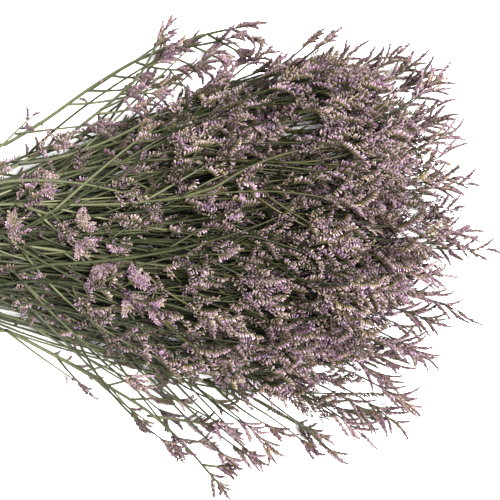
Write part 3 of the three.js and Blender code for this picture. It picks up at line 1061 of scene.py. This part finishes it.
def long_route(stem, k, rng):
    """A slim branch from the stem's lower half that ends near the bunch's outline, or None."""
    fork = stem.tip * lerp(*LONG_ZONE, (k + rng.uniform(0, 1)) / LONG_BRANCHES)
    start = stem.at(fork)
    length = (reach_left(start, 1) - OUTLINE_SLACK) * rng.uniform(*LONG_SHARE)
    return side_route(start, stem.direction(fork), length, *LONG_ANGLES, rng)


def free_routes(stem, many, form, rng):
    """Side branches spread over a zone of the stem. One that finds no room is None."""
    zone, lengths, opens, closes, turns = form
    for k in range(many):
        fork = stem.tip * lerp(*zone, (k + rng.uniform(0, 1)) / many)
        length = rng.uniform(*lengths)
        yield side_route(stem.at(fork), stem.direction(fork), length, opens, closes, rng, turns)


def twigs_on(route, bare, count, rng):
    """Twigs from a branch's stretch below its plume."""
    found = []
    for _ in range(count):
        start, ahead = stations_on(route, np.array([rng.uniform(*TWIG_ZONE) * bare]))
        length = rng.uniform(*TWIG_LENGTH)
        found.append(side_route(start[0], ahead[0], length, *TWIG_ANGLES, rng))
    return [twig for twig in found if twig is not None]


# ---------------- one spray
# The stalk. Its tint runs from 0, dark green, to 1, brown; stalks deep in the bunch get a darker tint, as
# painted shade.
STALK_RINGS = 48
STALK_SIDES = 8
STALK_SHARE = 0.97
STALK_TINT = (0.08, 0.55)
SUNK_PAINTED_SHADE = 0.8
CUT_VARIES = (0, 3)
TIP_RINGS = 6
TIP_RADIUS = 0.7
EDGE_TINT = (0.31, 0.39)
EDGE_THICKER = (1.15, 1.75)
EDGE_RING = 10

# Branches as tubes: rings, sides, radii at the fork and the tip, and how much browner than the
# stalk they may be.
BRANCH_TUBE = (14, 5, (1.3, 0.6), 0.11)
CROSSING_TUBE = (CROSSING_RINGS, 6, (1.75, 1.0), 0.01)
LOW_TUBE = (7, 4, (1.2, 0.6), 0.11)
TWIG_TUBE = (7, 4, (0.7, 0.4), 0.26)
BRANCH_TAPER = 1.2
GREENER = -0.05
TWIGS = (0, 3)  # on a branch of the CAD model's: at least the first number, below the second


def add_stalk(body, stem, tint, rng):
    """The stalk from its cut end to its tip. The loose stems' stalks are stouter."""
    route = resampled(stem.route(-BUTT + rng.uniform(*CUT_VARIES), stem.tip, 1), STALK_RINGS)
    radii = np.array([STALK_SHARE * stem.thickness(x) for x in route[:, 0]])
    radii[-TIP_RINGS:] *= np.linspace(1, TIP_RADIUS, TIP_RINGS)
    if stem.way:
        radii[EDGE_RING:] *= np.linspace(*EDGE_THICKER, STALK_RINGS - EDGE_RING)
    body.add_stalks(route[None], radii[None], STALK_SIDES, tint, Body.CUT)


def grow_branches(spikes, stem, rng):
    """Gathers the spikes of a spray. Returns the routes of its branches, its crossing and low
    branches, and its twigs."""
    twigs = []

    def flowering(routes, kind, bare=0, count=0):
        """The routes that were found, with their plumes and with twigs on their bare share."""
        grown = []
        for route in routes:
            if route is not None:
                plume(spikes, route, *kind, rng)
                twigs.extend(twigs_on(route, bare * length_of(route), count, rng))
                grown.append(route)
        return grown

    for route in stem.branches:
        x, y, _ = route[-1]
        outer = stem.way and abs(y) > abs(stem.at(min(x, stem.tip))[1])
        plume(spikes, route, *(OUTER_PLUME if outer else HEAD_PLUME), rng)
        twigs += twigs_on(route, length_of(route) - PLUME_LENGTH, int(rng.integers(*TWIGS)), rng)
    branches = stem.branches + flowering(edge_routes(stem, rng), EDGE_PLUME, bare=0.7, count=1)
    for k in range(LONG_BRANCHES):
        route = long_route(stem, k, rng)
        if route is not None:
            branches.append(route)
            plume(spikes, route, rng.uniform(*LONG_REACH), *LONG_PLUME, rng)
            twigs += twigs_on(route, length_of(route) - PLUME_LENGTH, 1, rng)
    branches += flowering(low_side_routes(stem), LOW_SIDE_PLUME, bare=0.8, count=2)
    crossing = flowering(crossing_routes(stem), CROSSING_PLUME)
    branches += flowering(rim_routes(stem), RIM_PLUME)
    low = flowering(free_routes(stem, 0 if stem.way else LOW_BRANCHES, LOW_FORM, rng), LOW_PLUME)
    shorts = 0 if stem.way else SHORT_BRANCHES[1 if stem.up_tie >= 0 else 0]
    found = free_routes(stem, shorts, SHORT_FORM, rng)
    twigs += [route for route in found if route is not None]
    for route in twigs:
        plume(spikes, route, TWIG_REACH * length_of(route), *TWIG_PLUME, rng)
    for route, bearing in low_cluster_routes(stem):
        twigs.append(route)
        open_fan(spikes, route, bearing, rng)
    return branches, crossing, low, twigs


def add_scales(body, routes, rng):
    """A small brown scale under every fork."""
    starts = np.array([route[0] for route in routes])
    ahead = normalised(np.array([route[1] - route[0] for route in routes]))
    side = normalised(np.cross(ahead, UP + 0.01))
    length = rng.uniform(*SCALE_LENGTH, len(routes))[:, None, None]
    frames = np.stack((np.cross(ahead, side), side, ahead), axis=1) * length
    body.add_copies(SCALE, POINTED_FACES, starts, frames, ripe=0.22, tint=0.5)


def build_spray(stem, materials):
    rng = np.random.default_rng(stem.number)
    body = Body()
    spikes = Spikes()
    # Painted shade: the deeper the stalk runs in the bunch, the darker its tint.
    tint = rng.uniform(*STALK_TINT) * (1 - SUNK_PAINTED_SHADE * sunk(stem.at(0.5 * stem.tip)))
    if stem.way:
        tint = rng.uniform(*EDGE_TINT)
    add_stalk(body, stem, tint, rng)
    plume(spikes, stem.route(stem.tip - PLUME_LENGTH, stem.tip, BEAD_STEP), *HEAD_PLUME, rng)

    branches, crossing, low, twigs = grow_branches(spikes, stem, rng)
    for routes, (rings, sides, radii, browner) in (
        (branches, BRANCH_TUBE),
        (crossing, CROSSING_TUBE),
        (low, LOW_TUBE),
        (twigs, TWIG_TUBE),
    ):
        if routes:
            paths = np.array([resampled(route, rings) for route in routes])
            tapered = lerp(*radii, np.linspace(0, 1, rings) ** BRANCH_TAPER)
            tints = tint + rng.uniform(GREENER, browner, len(routes))
            body.add_stalks(paths, np.broadcast_to(tapered, paths.shape[:2]), sides, tints)
    add_scales(body, branches + twigs, rng)
    add_shoots(spikes, stem, rng)
    spikes.build(body, rng)

    piece = body.make(f"statice_{stem.number:02d}", materials)
    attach(piece, "root")
    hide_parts(f"spray_{stem.number:02d}")


# ---------------- the tie
# Its twine, of three twisted strands.
TWINE_RADIUS = 0.78
TWINE_TURNS = 7
TWINE_SIDES = 10
STRANDS = 3
STRAND_DEPTH = 0.16
STRAND_TWIST = 1.3
ACROSS_TWINE = np.array((0.9, 0.1, 0.35))  # a direction that the twine never takes

# The knot's loops, and the two ends that leave it. Heights are those above the coil.
KNOT_RADIUS = 3.2
KNOT_FLATNESS = 0.8
KNOT_HEIGHT = 1.1
END_HEIGHT = 1.2
END_FROM = 1
END_ALONG = 17
END_ASIDE = 5
END_DROPS = (1.1, 1.5)


def twine_tube(body, route):
    """A tube of twisted strands along a route."""
    angles = 2 * np.pi * np.arange(TWINE_SIDES) / TWINE_SIDES
    twist = STRANDS * (angles[None] + STRAND_TWIST * marks_on(route)[:, None])
    radii = TWINE_RADIUS * (1 + STRAND_DEPTH * np.cos(twist))
    points = route[:, None] + radii[..., None] * spokes_round(route, ACROSS_TWINE, TWINE_SIDES)
    body.add_tubes(points[None], 0.0, 0.0, Body.STALK)


def build_tie(material):
    """Turns of twine round the stems, with a knot on top and its two short ends."""
    body = Body()
    radius = TIE_INNER + TWINE_RADIUS
    turn = np.linspace(0, 2 * np.pi * TWINE_TURNS, num=80 * TWINE_TURNS)
    width = 2 * TWINE_RADIUS * TWINE_TURNS
    along = width * (turn / turn[-1] - 0.5) * (1 - 1 / TWINE_TURNS)
    height = TIE_HEIGHT + TIE_SQUASH * radius * np.cos(turn)
    twine_tube(body, np.column_stack((along, radius * np.sin(turn), height)))

    loop = np.linspace(0, 2 * np.pi, num=90)[:-1]
    trefoil = np.column_stack(
        (
            np.sin(loop) + 2 * np.sin(2 * loop),
            np.cos(loop) - 2 * np.cos(2 * loop),
            -KNOT_FLATNESS * np.sin(3 * loop),
        )
    )
    top = TIE_HEIGHT + TIE_SQUASH * (radius + TWINE_RADIUS)
    twine_tube(body, trefoil * KNOT_RADIUS / 3 + np.array((0, 0, top + KNOT_HEIGHT)))
    t = np.linspace(0, 1, num=40)
    along = END_FROM + END_ALONG * t
    aside = END_FROM + END_ASIDE * t + END_ASIDE * t * t
    arched, sagged = END_DROPS
    height = top + END_HEIGHT - arched * np.sin(np.pi * t * 0.5) - sagged * t * t
    for way in (-1, 1):
        twine_tube(body, np.column_stack((way * along, way * aside, height)))

    piece = body.make("twine_tie", [material])
    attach(piece, "root")
    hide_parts("tie")


# ---------------- materials
MOTTLING = 0.22


def linear(code):
    """A web colour as the linear values that shaders take."""
    shares = [int(code[i : i + 2], 16) / 255 for i in (1, 3, 5)]
    return tuple(s / 12.92 if s <= 0.04045 else ((s + 0.055) / 1.055) ** 2.4 for s in shares) + (1.0,)


class Nodes:
    """A new material's node tree, with short calls to add and join nodes."""

    SPECULAR = 0.25
    AMOUNT, FIRST, SECOND, MIXED = 0, 6, 7, 2  # a colour mix node's sockets

    def __init__(self, name):
        self.material = bpy.data.materials.new(name)
        self.material.use_nodes = True
        self.tree = self.material.node_tree
        self.shader = self.tree.nodes["Principled BSDF"]

    def add(self, kind, **settings):
        node = self.tree.nodes.new(kind)
        for key, value in settings.items():
            setattr(node, key, value)
        return node

    def join(self, source, target):
        self.tree.links.new(source, target)

    def value(self, name):
        """One of the mesh's own values, "ripe" or "tint"."""
        return self.add("ShaderNodeAttribute", attribute_name=name).outputs["Fac"]

    def noise(self, scale, detail=3.0):
        place = self.add("ShaderNodeTexCoord").outputs["Object"]
        noise = self.add("ShaderNodeTexNoise")
        noise.inputs["Scale"].default_value = scale
        noise.inputs["Detail"].default_value = detail
        self.join(place, noise.inputs["Vector"])
        return noise.outputs["Fac"]

    def ramp(self, source, stops):
        """Colours from a value. Each stop is a position and its web colour."""
        ramp = self.add("ShaderNodeValToRGB")
        elements = ramp.color_ramp.elements
        while len(elements) < len(stops):
            elements.new(0.5)
        for element, (position, colour) in zip(elements, stops.items()):
            element.position = position
            element.color = linear(colour)
        self.join(source, ramp.inputs["Fac"])
        return ramp.outputs["Color"]

    def mix(self, amount, first, second, blend="MIX"):
        mix = self.add("ShaderNodeMix", data_type="RGBA", blend_type=blend)
        if isinstance(amount, float):
            mix.inputs[self.AMOUNT].default_value = amount
        else:
            self.join(amount, mix.inputs[self.AMOUNT])
        self.join(first, mix.inputs[self.FIRST])
        self.join(second, mix.inputs[self.SECOND])
        return mix.outputs[self.MIXED]

    def bump(self, height, distance, strength=0.5):
        bump = self.add("ShaderNodeBump")
        bump.inputs["Strength"].default_value = strength
        bump.inputs["Distance"].default_value = distance
        self.join(height, bump.inputs["Height"])
        self.join(bump.outputs["Normal"], self.shader.inputs["Normal"])

    def finish(self, colour, roughness):
        self.join(colour, self.shader.inputs["Base Color"])
        self.shader.inputs["Roughness"].default_value = roughness
        self.shader.inputs["Specular IOR Level"].default_value = self.SPECULAR
        return self.material


def stalk_material():
    """Dark green stalks that turn olive and brown towards the spikes."""
    nodes = Nodes("dried_stalk")
    own = nodes.ramp(
        nodes.value("tint"),
        {0.0: "#22251a", 0.2: "#434733", 0.4: "#666751", 0.6: "#7e7c60", 1.0: "#66554a"},
    )
    mottled = nodes.ramp(nodes.noise(scale=220), {0.32: "#25231a", 0.55: "#434936", 0.75: "#7b7e62"})
    nodes.bump(nodes.noise(scale=900), distance=0.0004)
    darker_tips = nodes.ramp(nodes.value("ripe"), {0.38: "#ffffff", 0.68: "#a5a38c", 1.0: "#98917a"})
    stalk = nodes.mix(1.0, nodes.mix(MOTTLING, own, mottled), darker_tips, "MULTIPLY")
    return nodes.finish(stalk, roughness=0.45)


def floret_material():
    """Green bracts, papery pink-lilac calyces and violet throats; faded ones are brown-mauve, and the
    same dark brown-mauve is painted shade deep in the bunch and between clumps.
    """
    nodes = Nodes("floret")
    fresh = nodes.ramp(
        nodes.value("ripe"),
        {
            0.0: "#3a3c22", 0.2: "#5a5a3a", 0.36: "#6d664a", 0.52: "#7d6a69",
            0.72: "#a4959a", 0.84: "#9c8a93", 1.0: "#4c3455",
        },
    )
    # Faded florets, and florets with painted shade deep in the bunch and between clumps.
    faded = nodes.ramp(
        nodes.value("ripe"),
        {
            0.0: "#1e1a14", 0.2: "#393427", 0.36: "#382b27", 0.55: "#4b3b3e",
            0.8: "#67575e", 1.0: "#2b1d2f",
        },
    )
    own = nodes.mix(nodes.value("tint"), fresh, faded)
    blotches = nodes.ramp(nodes.noise(scale=90), {0.36: "#f0e0fb", 0.5: "#ffffff", 0.64: "#f4f7dc"})
    nodes.bump(nodes.noise(scale=1400), distance=0.0002, strength=0.3)
    return nodes.finish(nodes.mix(1.0, own, blotches, "MULTIPLY"), roughness=0.75)


def noisy_material(name, roughness, stops, scale, relief=0, detail=3.0):
    """Colours by a noise of one scale, over the relief of a noise of another, if there is one."""
    nodes = Nodes(name)
    colour = nodes.ramp(nodes.noise(scale, detail), stops)
    if relief:
        nodes.bump(nodes.noise(relief, detail), distance=0.0003)
    return nodes.finish(colour, roughness)


CUT_COLOURS = {0.3: "#8d8a5e", 0.6: "#b9b58c", 0.8: "#d6d1ae"}
TWINE_COLOURS = {0.3: "#6f5c40", 0.5: "#9b8561", 0.75: "#c3ae8b"}
PAPER_COLOURS = {0.0: "#fcfcfc", 1.0: "#ffffff"}
cut_material = noisy_material("cut_end", 0.85, CUT_COLOURS, scale=1500, relief=2200)
twine_material = noisy_material("twine", 0.9, TWINE_COLOURS, scale=700, relief=3000, detail=6.0)
floor_material = noisy_material("floor", 0.9, PAPER_COLOURS, scale=3)


# ---------------- the scene
VIEW_WIDTH = 450  # millimetres that the camera sees at the bunch's middle
FLOOR = 6  # metres from the middle to each side
SOFTBOX_TILT = 15.5  # degrees

materials = [stalk_material(), floret_material(), cut_material]
for stem in STEMS:
    build_spray(stem, materials)
build_tie(twine_material)

camera_data = bpy.data.cameras.new("camera")
camera_data.lens = camera_data.sensor_width * (EYE[2] - MIDDLE_HEIGHT) / VIEW_WIDTH
camera_data.clip_end = 50
camera = add_object("camera", camera_data)
camera.location = (EYE + TIE_PLACE) * MM
bpy.context.scene.camera = camera

floor_mesh = bpy.data.meshes.new("floor")
floor_corners = [(x * FLOOR, y * FLOOR, 0) for x, y in ((-1, -1), (1, -1), (1, 1), (-1, 1))]
floor_mesh.from_pydata(floor_corners, [], [(0, 1, 2, 3)])
floor_mesh.materials.append(floor_material)
floor = add_object("floor", floor_mesh)

world = bpy.data.worlds.new("studio")
world.use_nodes = True
world.node_tree.nodes["Background"].inputs["Color"].default_value = (1, 1, 1, 1)
world.node_tree.nodes["Background"].inputs["Strength"].default_value = 0.1
bpy.context.scene.world = world

lamp = bpy.data.lights.new("softbox", "AREA")
lamp.shape = "SQUARE"
lamp.size = 1.6
lamp.energy = 690
softbox = add_object("softbox", lamp)
softbox.location = (1.2, 0.0, 4.2)
softbox.rotation_euler = (0, math.radians(SOFTBOX_TILT), 0)
view = bpy.context.scene.view_settings
view.view_transform = "Standard"
view.exposure = 0.36
view.gamma = 0.8
